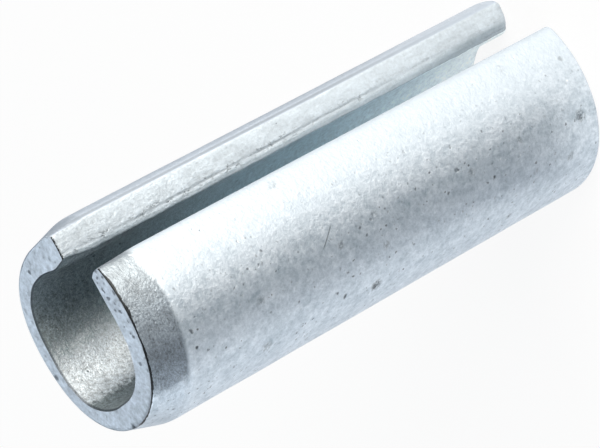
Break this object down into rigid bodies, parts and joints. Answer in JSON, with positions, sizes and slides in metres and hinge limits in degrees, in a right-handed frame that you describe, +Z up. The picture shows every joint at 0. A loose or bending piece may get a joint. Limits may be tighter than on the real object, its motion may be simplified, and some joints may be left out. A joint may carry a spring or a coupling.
{
  "type": "slotted spring pin",
  "caption": "Slotted spring pin: a sleeve rolled from steel strip that grips the wall of its hole, with a tapered lead-in at one end and a plain cut at the other.",
  "frame": {"origin": "on the sleeve's axis, at the face of the plain end that the pin stands on", "axes": "+Z up the axis from the plain end to the lead-in, -Y out through the slot, +X square to both"},
  "size_m": [0.0088, 0.0085, 0.024],
  "materials": {
    "zinc_plated_steel": "dull zinc plate over rolled strip: pale silver, faintly blue, with a fine matt grain and small dark pits"
  },
  "bodies": {
    "root": {"spring_pin": "zinc_plated_steel"}
  },
  "joints": []
}
